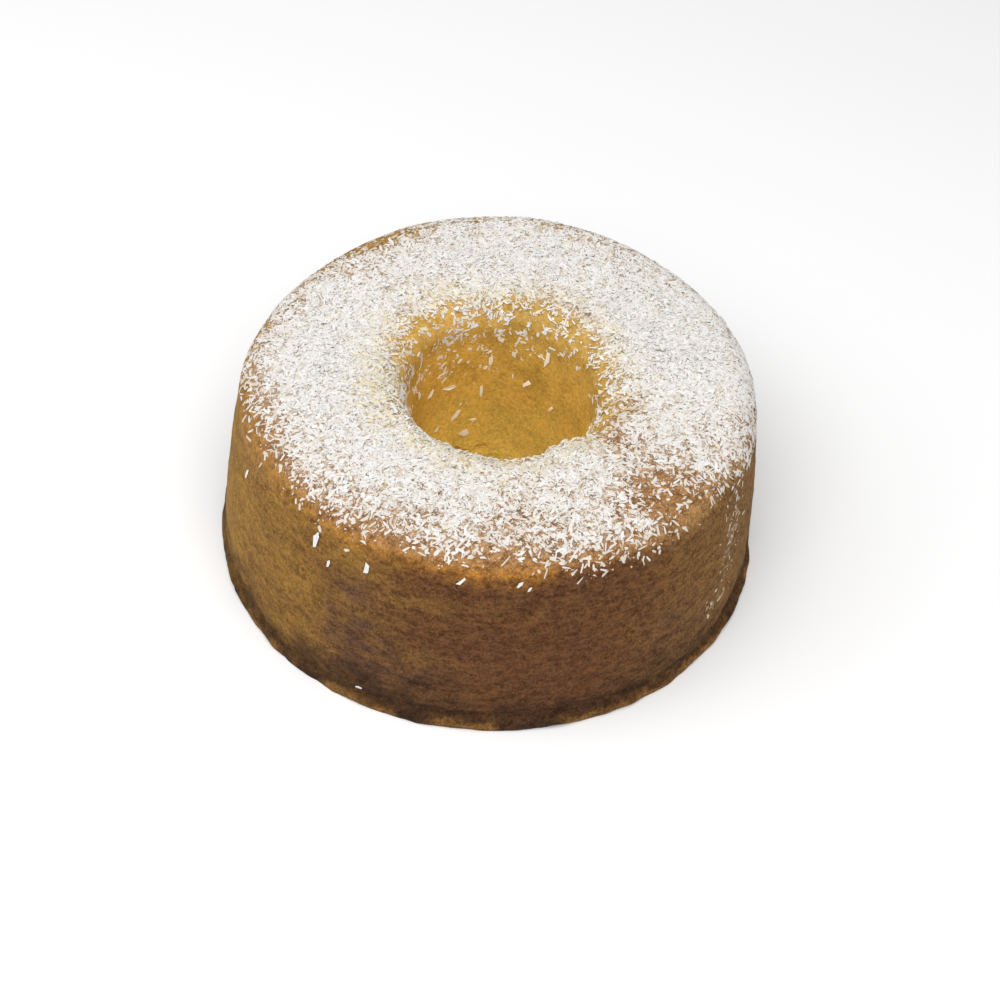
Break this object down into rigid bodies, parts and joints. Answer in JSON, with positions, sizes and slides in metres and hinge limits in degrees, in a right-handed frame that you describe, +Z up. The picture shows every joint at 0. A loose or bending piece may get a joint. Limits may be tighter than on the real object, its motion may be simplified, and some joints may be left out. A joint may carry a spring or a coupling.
{
  "type": "coconut ring cake",
  "caption": "Tall ring-shaped sponge cake with a tapering hole through its middle, rounded rims and shredded coconut stuck over its top.",
  "frame": {"origin": "middle of the flat base, on the axis of the hole", "axes": "+Z up along the hole's axis; -Y towards the viewer of the picture and +X to their right"},
  "size_m": [0.2203, 0.2214, 0.0866],
  "materials": {
    "crust": "baked sponge crust: matt, finely porous, golden to brown, slightly moist round the rims",
    "coconut": "dried shredded coconut: matt white to cream, slightly translucent"
  },
  "bodies": {
    "root": {"coconut_cake": "crust"}
  },
  "joints": []
}
